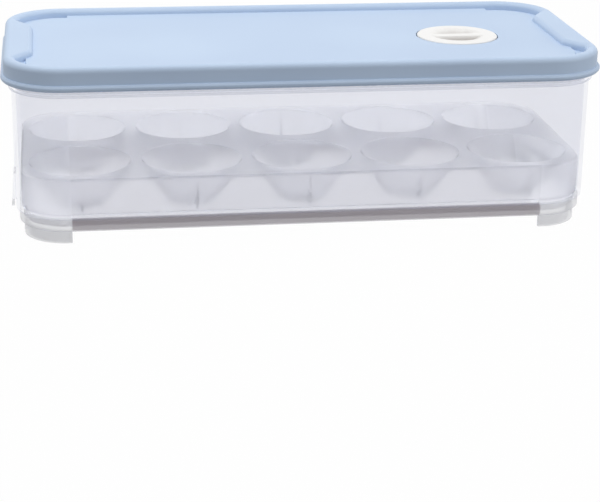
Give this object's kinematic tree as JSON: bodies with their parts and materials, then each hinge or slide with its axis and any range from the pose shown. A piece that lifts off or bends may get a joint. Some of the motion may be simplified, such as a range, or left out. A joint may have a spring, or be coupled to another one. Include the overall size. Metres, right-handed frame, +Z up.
{
  "type": "egg keeper with flip lid",
  "caption": "Clear refrigerator egg keeper with a lift-out tray of tapered cups, a hinged flip lid with a raised rim, and a turning dial on the lid.",
  "frame": {"origin": "under the middle of the keeper, on the surface that its feet stand on", "axes": "+X along the length, towards the end with the dial; +Y towards the back, where the hinges are; +Z up"},
  "size_m": [0.262, 0.1232, 0.0786],
  "materials": {
    "clear_plastic": "clear gloss",
    "frosted_plastic": "frosted translucent",
    "blue_plastic": "fine matte",
    "white_plastic": "satin gloss"
  },
  "bodies": {
    "box": {"box_body": "clear_plastic"},
    "tray": {"egg_tray": "frosted_plastic"},
    "lid": {"lid": "blue_plastic"},
    "dial": {"dial_knob": "white_plastic"}
  },
  "joints": [
    {"name": "lid_hinge", "type": "hinge", "parent": "box", "child": "lid", "pos_m": [0, 0.0598, 0.0625], "axis": [-1, 0, 0], "range_deg": [0, 110]},
    {"name": "tray_lift", "type": "slide", "parent": "box", "child": "tray", "axis": [0, 0, -1], "range_m": [-0.036, 0]},
    {"name": "dial_turn", "type": "hinge", "parent": "lid", "child": "dial", "pos_m": [0.075, 0, 0.0757], "axis": [0, 0, 1], "continuous": true}
  ]
}
